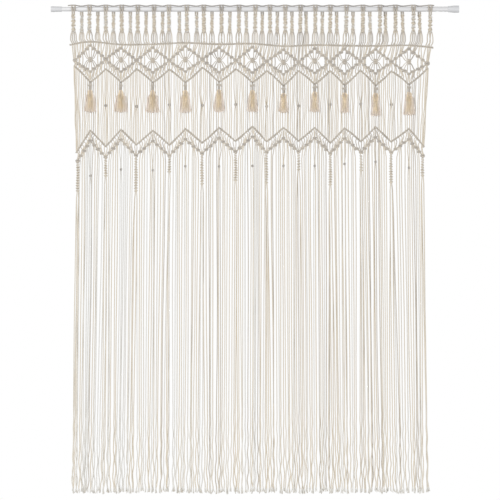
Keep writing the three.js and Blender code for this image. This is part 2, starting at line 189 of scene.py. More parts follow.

# %% [markdown]
# ## Finishes
#
# Cotton cord is matt, a little fuzzy, and twisted from three plies. Its twist is far finer than the mesh,
# so it is drawn in the material: every cord mesh carries two attributes, around (the direction from the
# cord's middle to the surface) and along (the distance from the cord's start). A sine of both together
# runs round the cord as a screw thread does, without a seam, and darkens the grooves between the plies
# as painted shade. A third attribute, tone, makes each cord a little warmer or greyer than the next, as
# undyed cotton is. Its low end is a dark grey of painted shade, for knots, hitches and the cords packed
# round them, and it is shifted across the curtain and along the fringe as painted light.
#
# The rod is enamelled steel with plastic caps. Both are smooth, so a clear coat and the faint orange peel of
# a sprayed or moulded surface are enough.

# %% Cotton
PLIES = 3
PLY_PITCH = 9 * MM
FUZZ = 0.35


def cotton(name, shades, groove=0.72, relief_strength=0.55, sheen=0.25):
    """A material for twisted cotton cord; shades are (tone, colour) stops from grey to warm, and the grooves
    between the plies get painted shade
    """
    settings = {"Sheen Weight": sheen, "Sheen Roughness": 0.6, "Specular IOR Level": 0.2, "Roughness": 0.92}
    made, tree, shader = new_finish(name, settings)
    around = add_node(tree, "ShaderNodeAttribute", attribute_name="around").node.outputs["Vector"]
    along = add_node(tree, "ShaderNodeAttribute", attribute_name="along").node.outputs["Fac"]
    tone = add_node(tree, "ShaderNodeAttribute", attribute_name="tone").node.outputs["Fac"]

    sides = add_node(tree, "ShaderNodeSeparateXYZ", {0: around}).node.outputs
    angle = maths(tree, "ARCTAN2", sides["Y"], sides["X"])
    climb = maths(tree, "MULTIPLY", along, 2 * pi / PLY_PITCH)
    screw = maths(tree, "ADD", maths(tree, "MULTIPLY", angle, PLIES), climb)
    ply = maths(tree, "ABSOLUTE", maths(tree, "SINE", maths(tree, "MULTIPLY", screw, 0.5)))

    uneven = maths(tree, "MULTIPLY_ADD", noise(tree, 14.0, 2.0), 0.16, -0.08)
    shade = add_node(tree, "ShaderNodeValToRGB", {0: maths(tree, "ADD", tone, uneven)})
    ramp = shade.node.color_ramp
    while len(ramp.elements) < len(shades):
        ramp.elements.new(0.5)
    for element, (position, colour) in zip(ramp.elements, shades):
        element.position = position
        element.color = (*colour, 1)

    relief = maths(tree, "MULTIPLY_ADD", noise(tree, 900.0, 3.0), FUZZ, maths(tree, "POWER", ply, 0.6))
    # Painted shade: the grooves between the plies are darkened to groove times the colour
    dark = maths(tree, "MULTIPLY_ADD", maths(tree, "POWER", ply, 0.5), 1 - groove, groove)
    colour_and_shade = add_node(tree, "ShaderNodeVectorMath", {0: shade, "Scale": dark}, operation="SCALE")
    dress(tree, shader, colour_and_shade, relief, relief_strength, 0.5 * MM)
    return made


# Painted shade: the dark grey at tone 0 stands for the shade of knots, hitches and tightly packed cords; low
# tones mix it in
CREAM_SHADES = [
    (0.0, (0.44, 0.41, 0.385)),
    (0.28, (0.76, 0.69, 0.585)),
    (0.6, (0.80, 0.72, 0.59)),
    (1.0, (0.82, 0.80, 0.755)),
]
WARM_SHADES = [
    (0.0, (0.60, 0.50, 0.41)),
    (0.5, (1.0, 0.83, 0.57)),
    (0.75, (1.0, 0.88, 0.72)),
    (1.0, (1.0, 0.90, 0.83)),
]
cream_cotton = cotton("cream_cotton", CREAM_SHADES)
warm_cotton = cotton("warm_cotton", WARM_SHADES, groove=1.0, relief_strength=0.15, sheen=0.7)
print("plies", PLIES, "pitch", PLY_PITCH)


# %% Rod finishes
def moulded(name, colour, roughness, speckle):
    """A smooth coated finish with a faint orange peel"""
    made, tree, shader = new_finish(name, {"Coat Weight": 0.5, "Coat Roughness": 0.3})
    peel = noise(tree, speckle, 2.0)
    lighter = tuple(min(1.0, c * 1.05) for c in colour)
    colours = {"Factor": noise(tree, 9.0, 1.0), "A": (*colour, 1), "B": (*lighter, 1)}
    plug(tree, shader, "Roughness", maths(tree, "MULTIPLY_ADD", peel, 0.12, roughness - 0.06))
    clouded = add_node(tree, "ShaderNodeMix", colours, data_type="RGBA")
    dress(tree, shader, clouded, peel, 0.08, 0.2 * MM)
    return made


white_enamel = moulded("white_enamel", (0.72, 0.72, 0.73), 0.38, 600.0)
cap_plastic = moulded("cap_plastic", (0.66, 0.665, 0.68), 0.5, 900.0)

# %% [markdown]
# ## The plan of the knots
#
# Two short tables hold the sizes that differ from one repeat to the next, because hand-made knots are never
# quite even. A repeat's row holds its middle, the heights of the bar, the diamond's eye, the first zigzag's
# low point and the second's high point, and the tassel's width and foot. A valley is a place between
# repeats, or a side edge. Its row holds where it is above and below the tall band, and the heights where the
# diamonds cross, of the first zigzag's high point and the second's low point, and of a thin sinnet's end.
#
# The lines that run across the curtain come from these tables. Every place on a line is counted in legs:
# even numbers are valleys and odd numbers are middles, so a cord keeps its number from the bar to the hem.

# %% Tables
Repeat = namedtuple("Repeat", "x bar eye vee crest skirt foot")
REPEATS = [
    Repeat(-0.601, -0.119, -0.184, -0.267, -0.441, 0.047, -0.377),
    Repeat(-0.489, -0.129, -0.185, -0.268, -0.437, 0.054, -0.377),
    Repeat(-0.373, -0.128, -0.187, -0.268, -0.441, 0.054, -0.379),
    Repeat(-0.254, -0.123, -0.184, -0.268, -0.435, 0.047, -0.379),
    Repeat(-0.131, -0.128, -0.186, -0.266, -0.431, 0.044, -0.376),
    Repeat(-0.009, -0.126, -0.187, -0.268, -0.426, 0.044, -0.376),
    Repeat(0.104, -0.135, -0.194, -0.280, -0.431, 0.038, -0.379),
    Repeat(0.218, -0.131, -0.189, -0.274, -0.431, 0.040, -0.376),
    Repeat(0.327, -0.133, -0.192, -0.278, -0.432, 0.036, -0.379),
    Repeat(0.440, -0.134, -0.191, -0.279, -0.428, 0.040, -0.390),
    Repeat(0.562, -0.132, -0.192, -0.275, -0.435, 0.047, -0.388),
]
Valley = namedtuple("Valley", "x lower cross peak low end")
VALLEYS = [
    Valley(-0.656, -0.647, -0.188, -0.210, -0.514, -0.663),
    Valley(-0.545, -0.545, -0.183, -0.218, -0.500, -0.608),
    Valley(-0.432, -0.434, -0.188, -0.218, -0.494, -0.663),
    Valley(-0.313, -0.312, -0.188, -0.219, -0.495, -0.593),
    Valley(-0.192, -0.193, -0.184, -0.213, -0.487, -0.637),
    Valley(-0.070, -0.071, -0.188, -0.218, -0.481, -0.624),
    Valley(0.043, 0.042, -0.192, -0.224, -0.482, -0.633),
    Valley(0.159, 0.159, -0.195, -0.225, -0.480, -0.585),
    Valley(0.274, 0.275, -0.193, -0.225, -0.487, -0.640),
    Valley(0.385, 0.387, -0.191, -0.223, -0.482, -0.588),
    Valley(0.498, 0.497, -0.193, -0.226, -0.483, -0.631),
    Valley(0.628, 0.612, -0.200, -0.219, -0.495, -0.607),
]
LEGS = 2 * len(REPEATS)
print(len(REPEATS), "repeats,", LEGS, "legs")

# %% Lines
BAR_LEFT = (-0.672, -0.130)
BAR_RIGHT = (0.646, -0.140)
TIP_DROP = 13.5 * MM
CROSS_HALF = 1.5 * MM
DIAMOND_HALF_HEIGHT = 43.5 * MM
SECOND_DROP = 1.5 * MM
KNOTTED_DROP = 40 * MM
PAST_END = 20 * MM


class Line:
    """A line across the curtain, given by its corners from left to right, and how far its legs bow"""

    def __init__(self, corners, bow=0.0):
        self.corners = corners
        self.bow = bow

    def leg(self, x):
        """The two corners on either side of x"""
        last = len(self.corners) - 1
        n = next((n for n in range(1, last) if self.corners[n][0] >= x), last)
        return self.corners[n - 1], self.corners[n]

    def slope(self, x):
        """How much the line climbs to the right at x"""
        (ax, az), (bx, bz) = self.leg(x)
        return (bz - az) / (bx - ax)

    def z(self, x):
        """The line's height at x"""
        (ax, az), (bx, bz) = self.leg(x)
        bend = self.bow * sin(pi * clamp((x - ax) / (bx - ax)))
        return az + (x - ax) * self.slope(x) + (bend if bz < az else -bend)

    def x(self, legs):
        """The place that is a number of legs from the left edge"""
        last = len(self.corners) - 1
        inside = clamp(legs, 0, last)
        n = min(floor(inside), last - 1)
        left, right = self.corners[n][0], self.corners[n + 1][0]
        return left + (inside - n) * (right - left) + (legs - inside) * PAST_END

    def on(self, legs, y=0.0):
        """The point that is a number of legs along the line"""
        x = self.x(legs)
        return Vector((x, y, self.z(x)))

    def square(self, legs, distance):
        """A step square to the line, upwards where the distance is positive, and upright at its corners"""
        slope = self.slope(self.x(legs)) * abs(sin(pi * legs))
        return Vector((-slope, 0, 1)) * (distance / hypot(slope, 1))


def zigzag(valley_z, middle_z, valley_x=lambda v: v.x, bow=0.0):
    """A line with a corner at every valley and every middle of a repeat, read from the two tables"""
    corners = []
    for n, valley in enumerate(VALLEYS):
        corners.append((valley_x(valley), valley_z(valley)))
        if n < len(REPEATS):
            corners.append((REPEATS[n].x, middle_z(REPEATS[n])))
    return Line(corners, bow)


bar = Line([BAR_LEFT, *[(r.x, r.bar) for r in REPEATS], BAR_RIGHT])
diamond_tops = zigzag(lambda v: v.cross + CROSS_HALF, lambda r: r.bar - TIP_DROP)
diamond_feet = zigzag(lambda v: v.cross - CROSS_HALF, lambda r: r.eye - DIAMOND_HALF_HEIGHT)
first_zigzag = zigzag(lambda v: v.peak, lambda r: r.vee, bow=2.4 * MM)
second_zigzag = zigzag(
    lambda v: v.low - SECOND_DROP, lambda r: r.crest - SECOND_DROP, lambda v: v.lower, bow=1.2 * MM
)
knotted_zigzag = zigzag(lambda v: v.low - KNOTTED_DROP, lambda r: r.crest - KNOTTED_DROP, lambda v: v.lower)

# %% Cords and their numbers
CORD = 3.7 * MM
CORDS_PER_LEG = 8
CORDS_PER_SINNET = 4
SINNET_MIDDLE = (CORDS_PER_SINNET - 1) / 2
CORDS = CORDS_PER_LEG * LEGS + CORDS_PER_SINNET
SINNETS = CORDS // CORDS_PER_SINNET
FIRST_CORD_X = -0.668
LAST_CORD_X = 0.644
CORD_PITCH = (LAST_CORD_X - FIRST_CORD_X) / (CORDS - 1)
FIRST_SINNET_X = -0.662
LAST_SINNET_X = 0.639
SINNET_SHIFTS = [
    0, 0, -1, -1, 0, -3, -1, 0, -2, -2, -1, -1, -6, 2, 0, 6, 3, 2, 8, 8, 12, 10, 12,
    8, 8, 4, 4, -1, -1, -8, -5, -9, -10, -15, -11, -15, -9, -11, -6, -14, -8, -10, -2, -7, 0,
]
SINNET_GROUP = 0.84
LOOSE_GROUP = 0.97

draw = Random(11)


def sinnet_x(i):
    """Where a sinnet hangs: none keeps quite to the even spacing"""
    even = FIRST_SINNET_X + i / (SINNETS - 1) * (LAST_SINNET_X - FIRST_SINNET_X)
    return even + SINNET_SHIFTS[i] * MM


def cord_place(cord, group, stray, follow):
    """A cord's place in cord numbers: a sinnet's four keep together, and follow its shift to the side"""
    i, k = divmod(cord, CORDS_PER_SINNET)
    shift = SINNET_SHIFTS[i] * MM / CORD_PITCH
    place = CORDS_PER_SINNET * i + SINNET_MIDDLE + group * (k - SINNET_MIDDLE)
    return place + follow * shift + draw.uniform(-stray, stray)


BAR_PLACES = [cord_place(cord, SINNET_GROUP, stray=0.1, follow=1.0) for cord in range(CORDS)]
PLACES = [cord_place(cord, LOOSE_GROUP, stray=0.2, follow=0.35) for cord in range(CORDS)]
# Each cord's own tone differs at random; its mean also falls from left to right, which is painted light: the
# cords on the left are paler and greyer, for the cooler light there
TONES = [clamp(draw.gauss(0.54 - 0.12 * cord / CORDS, 0.2), 0.14, 0.9) for cord in range(CORDS)]


def legs_of(cord):
    """How many legs from the left edge a cord hangs"""
    return (PLACES[cord] - SINNET_MIDDLE) / CORDS_PER_LEG


def bar_x(cord):
    """Where a cord meets the hitched bar"""
    return FIRST_CORD_X + BAR_PLACES[cord] * CORD_PITCH


print(CORDS, "cords,", SINNETS, "sinnets")

# %% [markdown]
# ## Three node trees that do most of the work
#
# The first turns any path into a cord: it makes a curve of the path, sweeps a small circle along it, and
# stores around and along for the cotton. The second threads small knots along a path, as beads are on a
# string, and can turn each one a little further than the last, which is just how a half-knot sinnet
# spirals. The third sets one knot on each of a list of places. All the cotton comes from these three.
#
# A path could be swept in mesh code too, but in a tree each size is a named input that can be tried out by
# hand. The result is made a plain mesh at once, so nothing is left to work out later.

# %% Tree inputs and results
def new_tree(name, inputs):
    """A geometry tree with named inputs; returns it with its input and output nodes"""
    tree = bpy.data.node_groups.new(name, "GeometryNodeTree")
    face = tree.interface
    face.new_socket("Geometry", in_out="INPUT", socket_type="NodeSocketGeometry")
    for label, kind, value in inputs:
        socket = face.new_socket(label, in_out="INPUT", socket_type="NodeSocket" + kind)
        if value is not None:
            socket.default_value = value
    face.new_socket("Geometry", in_out="OUTPUT", socket_type="NodeSocketGeometry")
    return tree, tree.nodes.new("NodeGroupInput").outputs, tree.nodes.new("NodeGroupOutput")


def attribute(tree, name, kind="FLOAT"):
    """What each point carries under a name"""
    return add_node(tree, "GeometryNodeInputNamedAttribute", {"Name": name}, data_type=kind)


def store(tree, geometry, name, value, kind="FLOAT"):
    """The geometry, with a value on each point under a name"""
    inputs = {"Geometry": geometry, "Name": name, "Value": value}
    return add_node(tree, "GeometryNodeStoreNamedAttribute", inputs, data_type=kind, domain="POINT")


def curves(tree, paths, label):
    """The paths as curves that carry the distance from their start"""
    curve = add_node(tree, "GeometryNodeMeshToCurve", {"Mesh": paths})
    distance = add_node(tree, "GeometryNodeSplineParameter").node.outputs["Length"]
    return store(tree, curve, label, distance)


def set_knots(tree, points, knot, turn, size):
    """A knot on every point, turned and sized"""
    shape = add_node(tree, "GeometryNodeObjectInfo", {"Object": knot}).node.outputs["Geometry"]
    inputs = {"Points": points, "Instance": shape, "Rotation": turn, "Scale": size}
    return add_node(tree, "GeometryNodeInstanceOnPoints", inputs)


def finish_tree(tree, geometry, material, end):
    """Every tree ends with its instances made real and its material set"""
    real = add_node(tree, "GeometryNodeRealizeInstances", {"Geometry": geometry})
    smooth = add_node(tree, "GeometryNodeSetShadeSmooth", {"Geometry": real})
    done = add_node(tree, "GeometryNodeSetMaterial", {"Geometry": smooth, "Material": material})
    plug(tree, end, 0, done)


def run_tree(made, tree, inputs):
    """Runs a tree on an object and leaves the plain mesh that it makes"""
    modifier = made.modifiers.new(tree.name, "NODES")
    modifier.node_group = tree
    sockets = {s.name: s.identifier for s in tree.interface.items_tree if s.in_out == "INPUT"}
    for label, value in inputs.items():
        modifier[sockets[label]] = value
    graph = bpy.context.evaluated_depsgraph_get()
    done = made.evaluated_get(graph)
    mesh = bpy.data.meshes.new_from_object(done, preserve_all_data_layers=True, depsgraph=graph)
    made.modifiers.clear()
    mesh.name = made.name
    made.data = mesh
    return made


# %% The tree that sweeps cords
cord_tree, given, end = new_tree(
    "cords_along_paths",
    [("Thickness", "Float", CORD), ("Sides", "Int", 6), ("Finish", "Material", None)],
)
circle = {"Resolution": given["Sides"], "Radius": maths(cord_tree, "MULTIPLY", given["Thickness"], 0.5)}
ring = add_node(cord_tree, "GeometryNodeCurvePrimitiveCircle", circle)
here = add_node(cord_tree, "GeometryNodeInputPosition")
outward = add_node(cord_tree, "ShaderNodeVectorMath", {0: here}, operation="NORMALIZE")
sweep = {
    "Curve": curves(cord_tree, given["Geometry"], "along"),
    "Profile Curve": store(cord_tree, ring, "around", outward, "FLOAT_VECTOR"),
    "Scale": attribute(cord_tree, "girth"),
    "Fill Caps": True,
}
finish_tree(cord_tree, add_node(cord_tree, "GeometryNodeCurveToMesh", sweep), given["Finish"], end)

# %% The tree that threads knots on paths
thread_tree, given, end = new_tree(
    "knots_along_paths",
    [
        ("Knot", "Object", None),
        ("Spacing", "Float", 5 * MM),
        ("Turns per metre", "Float", 0.0),
        ("Unevenness", "Float", 0.0),
        ("Seed", "Int", 1),
        ("Finish", "Material", None),
    ],
)
inputs = {"Curve": curves(thread_tree, given["Geometry"], "way"), "Length": given["Spacing"]}
beads = add_node(thread_tree, "GeometryNodeCurveToPoints", inputs, mode="LENGTH").node.outputs
turns = maths(thread_tree, "MULTIPLY", attribute(thread_tree, "way"), given["Turns per metre"])
chance = add_node(thread_tree, "FunctionNodeRandomValue", {"Seed": given["Seed"]}, data_type="FLOAT")
chance = maths(thread_tree, "MULTIPLY", maths(thread_tree, "SUBTRACT", chance, 0.5), given["Unevenness"])
angle = maths(thread_tree, "MULTIPLY", maths(thread_tree, "ADD", turns, chance), 2 * pi)
angle = maths(thread_tree, "ADD", angle, attribute(thread_tree, "phase"))
screwed = add_node(thread_tree, "FunctionNodeAxisAngleToRotation", {"Axis": (0, 0, 1), "Angle": angle})
inputs = {"Rotation": beads["Rotation"], "Rotate By": screwed}
facing = add_node(thread_tree, "FunctionNodeRotateRotation", inputs, rotation_space="LOCAL")
strung = set_knots(thread_tree, beads["Points"], given["Knot"], facing, attribute(thread_tree, "girth"))
finish_tree(thread_tree, strung, given["Finish"], end)

# %% The tree that sets knots on points
point_tree, given, end = new_tree(
    "knots_on_points", [("Knot", "Object", None), ("Finish", "Material", None)]
)
turn = attribute(point_tree, "turn", "FLOAT_VECTOR")
facing = add_node(point_tree, "FunctionNodeEulerToRotation", {"Euler": turn})
size = attribute(point_tree, "size", "FLOAT_VECTOR")
placed = set_knots(point_tree, given["Geometry"], given["Knot"], facing, size)
finish_tree(point_tree, placed, given["Finish"], end)

# %% Paths in, pieces out
# A path's tone is one number or a list, and its phase turns the knots that are threaded on it
Path = namedtuple("Path", "points tone girths phase closed", defaults=(0.5, None, 0.0, False))


def path_mesh(name, paths):
    """The paths as a mesh of edges, with what each point carries"""
    points, edges, tones, girths, phases = [], [], [], [], []
    for path in paths:
        first = len(points)
        points += path.points
        edges += [(n, n + 1) for n in range(first, len(points) - 1)]
        if path.closed:
            edges.append((len(points) - 1, first))
        tones += path.tone if isinstance(path.tone, list) else [path.tone] * len(path.points)
        girths += path.girths or [1.0] * len(path.points)
        phases += [path.phase] * len(path.points)
    mesh = bpy.data.meshes.new(name)
    mesh.from_pydata(points, edges, [])
    for label, values in (("tone", tones), ("girth", girths), ("phase", phases)):
        mesh.attributes.new(label, "FLOAT", "POINT").data.foreach_set("value", values)
    return mesh


def cords(name, paths, thickness=CORD, sides=6, finish=cream_cotton):
    """Cords along paths, as one plain mesh"""
    made = show(name, path_mesh(name, paths))
    return run_tree(made, cord_tree, {"Thickness": thickness, "Sides": sides, "Finish": finish})


def threaded(name, paths, knot, sizes):
    """Knots along paths, as one plain mesh; sizes are the tree's other inputs, by name"""
    made = show(name, path_mesh(name, paths))
    return run_tree(made, thread_tree, {"Knot": knot, "Finish": cream_cotton, **sizes})


Place = namedtuple("Place", "point turn size tone")


def knots(name, places, knot):
    """Knots on single places, as one plain mesh"""
    mesh = bpy.data.meshes.new(name)
    mesh.from_pydata([p.point for p in places], [], [])
    mesh.attributes.new("tone", "FLOAT", "POINT").data.foreach_set("value", [p.tone for p in places])
    for label in ("turn", "size"):
        flat = [number for place in places for number in getattr(place, label)]
        mesh.attributes.new(label, "FLOAT_VECTOR", "POINT").data.foreach_set("vector", flat)
    return run_tree(show(name, mesh), point_tree, {"Knot": knot, "Finish": cream_cotton})


def keep(piece, *nodes, slot="cream_cotton"):
    """Hangs a finished piece on the part's one body, hides the CAD nodes that it stands for, and prints its
    triangles
    """
    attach(piece, "root")
    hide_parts(*nodes)
    faces = sum(len(p.vertices) - 2 for p in piece.data.polygons)
    print(piece.name, faces, "triangles")


# %% [markdown]
# ## The knots themselves
#
# Three small shapes are tied once and used hundreds of times. A half knot is one cord laid over the core
# and the other under it: from outside, a flat ring that tips a little. A square knot is two bars across the
# core in front and behind, with a bump at one side where the cord turns back. A hitch is a cord wound once
# round another. They could be tied from one long path, but a copied shape is far lighter, and each is a
# coarse mesh, because there are so many.

# %% Knot shapes
def template(name, paths, thickness):
    """A knot to copy: made once, hidden, and without a tone of its own"""
    made = cords(name, paths, thickness, sides=5)
    made.data.attributes.remove(made.data.attributes["tone"])
    scene.collection.objects.unlink(made)
    return made


def loop(half_width, half_depth, tip, steps):
    """A flat ring round the core that tips from one side to the other"""
    turns = [2 * pi * n / steps for n in range(steps)]
    return [Vector((half_width * cos(a), half_depth * sin(a), tip * sin(a))) for a in turns]


def bars(half_width, half_height, depth, steps):
    """Two bars across the core, joined at the sides, on the side of the core that depth says"""
    points = []
    for n in range(steps):
        a = 2 * pi * n / steps
        z = half_height * (abs(sin(a)) ** 0.5) * (1 if sin(a) > 0 else -1)
        points.append(Vector((half_width * cos(a), depth * (1 - 0.75 * cos(a) ** 4), z)))
    return points


KNOT_HALF_WIDTH = 5.6 * MM
BUMP = [(4.0, -2.6, 3.4), (5.4, -4.0, 1.4), (5.4, -4.0, -1.4), (4.0, -2.6, -3.4)]

ring = Path(loop(KNOT_HALF_WIDTH, 3.8 * MM, 1.9 * MM, 12), closed=True)
half_knot = template("half_knot", [ring], 3.9 * MM)
front_and_back = [Path(bars(KNOT_HALF_WIDTH, 2 * MM, y * MM, 12), closed=True) for y in (-2.6, 2.6)]
square_knot = template("square_knot", [*front_and_back, Path([Vector(p) * MM for p in BUMP])], CORD)
hitch = template("hitch", [Path(loop(2.7 * MM, 2.7 * MM, 0.9 * MM, 8), closed=True)], 2.9 * MM)
print("half knot", len(half_knot.data.polygons), "faces, square knot", len(square_knot.data.polygons))

# %% [markdown]
# ## Top sinnets
#
# Each sinnet is four cords tied in half knots all one way, so it spirals. They hang by turns in front of
# the rod and behind it, and that makes the channel for the rod. The path of each one starts just under the
# rod and swings back to the curtain's own plane. The knots are threaded on it, which keeps their spiral
# even, and two plain core cords fill its middle.

# %% Sinnet paths
SINNET_STATIONS = [(15, -22), (13.4, -34), (9, -54), (3, -82)]
SINNET_FOOT_Z = -82 * MM


def sinnet_side(i):
    """-1 for a sinnet in front of the rod, 1 for one behind it"""
    return -1 if i % 2 == 0 else 1


sway = [draw.uniform(-1.2, 1.2) * MM for _ in range(SINNETS)]


def sinnet_path(i):
    """From under the rod to the gathering knot; a station is how far out and how high, in millimetres"""
    points = []
    for out, z in SINNET_STATIONS:
        lean = sway[i] * (1 - z * MM / SINNET_FOOT_Z)
        points.append(Vector((sinnet_x(i) + lean, sinnet_side(i) * out * MM, z * MM)))
    return points


def smooth(points, step=6 * MM):
    """More points on a curve through the given ones"""
    fine = []
    for n in range(len(points) - 1):
        a, b = points[max(n - 1, 0)], points[n]
        c, d = points[n + 1], points[min(n + 2, len(points) - 1)]
        square, cube = 2 * a - 5 * b + 4 * c - d, 3 * b - a - 3 * c + d
        parts = max(1, round((c - b).length / step))
        for t in [k / parts for k in range(parts)]:
            fine.append(0.5 * (2 * b + (c - a) * t + square * t * t + cube * t ** 3))
    fine.append(points[-1])
    return fine


# %% Sinnets in front of the rod and behind it
FRONT_GIRTH = 1.22
BACK_GIRTH = 1.07
CORE_TONE = 0.42
SINNET_KNOTS = {"Spacing": 7 * MM, "Turns per metre": 30.0, "Unevenness": 0.1, "Seed": 5}


def core_pair(points, apart, tone, girth=1.0):
    """The two plain cords that a sinnet's knots are tied round"""
    moved = [[p + Vector((dx, 0, 0)) for p in points] for dx in (-apart / 2, apart / 2)]
    return [Path(line, tone, [girth] * len(line)) for line in moved]


for where, side, girth in (("front", -1, FRONT_GIRTH), ("back", 1, BACK_GIRTH)):
    rows, cores = [], []
    for i in range(SINNETS):
        if sinnet_side(i) != side:
            continue
        points = smooth(sinnet_path(i), 5 * MM)
        # Painted light: the sinnet knots get tones above their cords' own, lighter and greyer, to lift the
        # shade inside the sinnets
        tones = [clamp(TONES[CORDS_PER_SINNET * i] + draw.gauss(0.17, 0.17), 0.45) for _ in points]
        rows.append(Path(points, tones, [girth] * len(points), draw.uniform(0, pi)))
        cores += core_pair(points, 3 * MM, CORE_TONE)
    keep(threaded(f"{where}_sinnets", rows, half_knot, SINNET_KNOTS), "macrame_panel")
    keep(cords(f"{where}_sinnet_cores", cores), "macrame_panel")

# %% [markdown]
# ## Mounting cord and its loops
#
# The mounting cord lies on the rod and weaves from the sinnets in front to those behind. Each sinnet starts
# as two cords folded over it. The two legs of each are twisted together where they pass the rod, so the
# sinnet looks like an open mesh there, with a short bar across each loop. Threaded knots would look closed
# here, so each leg is swept as a cord of its own, two turning round one middle.

# %% Mounting cord
MOUNTING_Z = 13 * MM
MOUNTING_OUT = 8.6 * MM
MOUNTING_CORD = 4.3 * MM


def mounting_point(i):
    """Where the mounting cord holds a sinnet"""
    side = sinnet_side(i)
    return Vector((sinnet_x(i) + sway[i], side * MOUNTING_OUT, MOUNTING_Z - side * 0.8 * MM))


left_end = Vector((BAR_LEFT[0] - 10 * MM, 0, MOUNTING_Z))
right_end = Vector((LAST_SINNET_X + 14 * MM, 0, MOUNTING_Z))
mounting = [left_end, *[mounting_point(i) for i in range(SINNETS)], right_end]
# Painted shade: tone 0 makes the mounting cord the darkest grey
keep(cords("mounting_cord", [Path(smooth(mounting, 5 * MM), 0.0)], MOUNTING_CORD), "macrame_panel")

# %% Twisted legs that pass the rod
LEG_THICKNESS = 3 * MM
LEG_TWIST = 11 * MM
LEG_REACH = 2 * MM
LEG_APART = 5.2
LEG_TOP = 7
LEG_HEIGHTS = [-23 + 1.5 * n for n in range(21)]
LOOP = [(1.9, 2.8, -4.2), (1.7, 2.6, -1.0), (1.3, 0.5, 1.0), (1.0, -2.0, 0.2), (0.0, -2.6, -1.2)]
CROSSING = [(-3.2, 2.4, -2.4), (-1.8, 4.2, -3.0), (0, 4.8, -3.2), (1.8, 4.2, -3.0), (3.2, 2.4, -2.4)]


def leg_middle(i, dx, z):
    """The middle of two twisted legs, z millimetres up: they clear the rod and close in below it"""
    fallen = (LEG_TOP - z) / 30
    out = 11.6 + 4 * sin(min(1.0, fallen * 1.6) * pi / 2) - 0.6 * fallen
    x = sinnet_x(i) + sway[i] + dx * (LEG_APART - 1.7 * min(1.0, 2 * fallen)) * MM
    return Vector((x, sinnet_side(i) * out * MM, z * MM))


legs, crossings = [], []
for i in range(SINNETS):
    # Painted shade: the legs and loop crossings take low tones, darker than the same cords lower down, a
    # little lighter below the rod
    side, tone = sinnet_side(i), 0.06 + 0.15 * TONES[CORDS_PER_SINNET * i]
    for dx in (-1, 1):
        top = mounting_point(i) + Vector((dx * LEG_APART * MM, 0, 0))
        halves = []
        for way in (-1, 1):
            points = []
            for z in LEG_HEIGHTS:
                turn = 2 * pi * (z - LEG_TOP) * MM / LEG_TWIST
                step = Vector((cos(turn), sin(turn), 0)) * LEG_REACH * way
                points.append(leg_middle(i, dx, z) + step)
            points += [top + Vector((way * x, side * out, z)) * MM for x, out, z in LOOP[: 4 + (way < 0)]]
            halves.append(points)
        leg_points = halves[0] + halves[1][::-1]
        legs.append(Path(leg_points, [tone + (0.08 if p.z < 3 * MM else 0) for p in leg_points]))
        crossings.append(Path([top + Vector((x, side * out, z)) * MM for x, out, z in CROSSING], tone))
keep(cords("twisted_legs", legs, LEG_THICKNESS, sides=5), "macrame_panel")
keep(cords("loop_crossings", crossings, LEG_THICKNESS), "macrame_panel")

# %% [markdown]
# ## From the sinnets down to the bar
#
# Under a sinnet its four cords are gathered once more and then fan out to the hitched bar, the outer two
# bowed like the sides of a lantern. In some fans the middle two cross. Each cord is a smooth path through a
# few stations, given as a share of the drop and a spread, so all fans keep one shape at their own size.

# %% Fans of four cords
FAN_CORD = 4.3 * MM
FAN_STATIONS = [(-0.1, 2.8), (0.03, 3.7), (0.16, 5.2), (0.36, 6.3), (0.68, 6.5)]
CROSSED_SHARE = 0.35

fans, gathers = [], []
for i in range(SINNETS):
    knot_at = sinnet_path(i)[-1]
    crossed = draw.random() < CROSSED_SHARE
    widen = 1.04 if sinnet_side(i) < 0 else 0.86
    for k in range(CORDS_PER_SINNET):
        cord = CORDS_PER_SINNET * i + k
        foot = Vector((bar_x(cord), 0, bar.z(bar_x(cord))))
        drop = foot.z - knot_at.z
        depth = (0.8 * MM, -1.2 * MM)[k % 2]
        points = []
        for t, spread in FAN_STATIONS:
            x = knot_at.x + (k - SINNET_MIDDLE) * widen * spread * MM
            if crossed and k in (1, 2):
                x = knot_at.x + (k - SINNET_MIDDLE) * (1 - 2 * t) * 5 * MM
            points.append(Vector((x, knot_at.y * (1 - t) + depth * min(1.0, t * 4), knot_at.z + drop * t)))
        points += [foot + Vector((0, 0, 5 * MM)), foot]
        # Painted shade: the fan cords are darker than the same cords' own tone
        fans.append(Path(smooth(points), 0.06 + 0.3 * TONES[cord]))
    # Painted shade: the gathering knots take a low tone, the dark grey
    gathers.append(Place(knot_at, (0, draw.uniform(-0.15, 0.15), 0), (0.95, 0.95, 1.0), 0.18))
keep(cords("sinnet_fans", fans, FAN_CORD), "macrame_panel")
keep(knots("gathering_knots", gathers, square_knot), "macrame_panel")

# %% [markdown]
# ## Hitched lines
#
# A holding cord runs right across the curtain, and each working cord is wound round it twice in a double
# half hitch. That makes a dotted ridge. The bar under the sinnets and the two thin zigzags are all made
# this way: a plain cord along the line, and hitches threaded on it. A bump in the material would look the
# same from in front, but not at the edge, where each hitch stands proud.

# %% Bar and zigzags
HOLDING_CORD = 3 * MM
# Painted shade: a low tone makes the holding cords and the hitches threaded on them dark grey
HOLDING_TONE = 0.19
HITCHES = {"Spacing": 3.9 * MM, "Unevenness": 0.3, "Seed": 7}


def line_points(line, ends, parts):
    """Places along a line, carried a little past its two ends and strayed from as a cord strays"""
    count = len(line.corners) - 1
    stray = (0.5 if parts > 1 else 0) * MM
    points = []
    for stop in [-ends, *[n / parts for n in range(1, count * parts)], count + ends]:
        points.append(line.on(stop) + Vector((draw.uniform(-stray, stray), 0, draw.uniform(-stray, stray))))
    return points


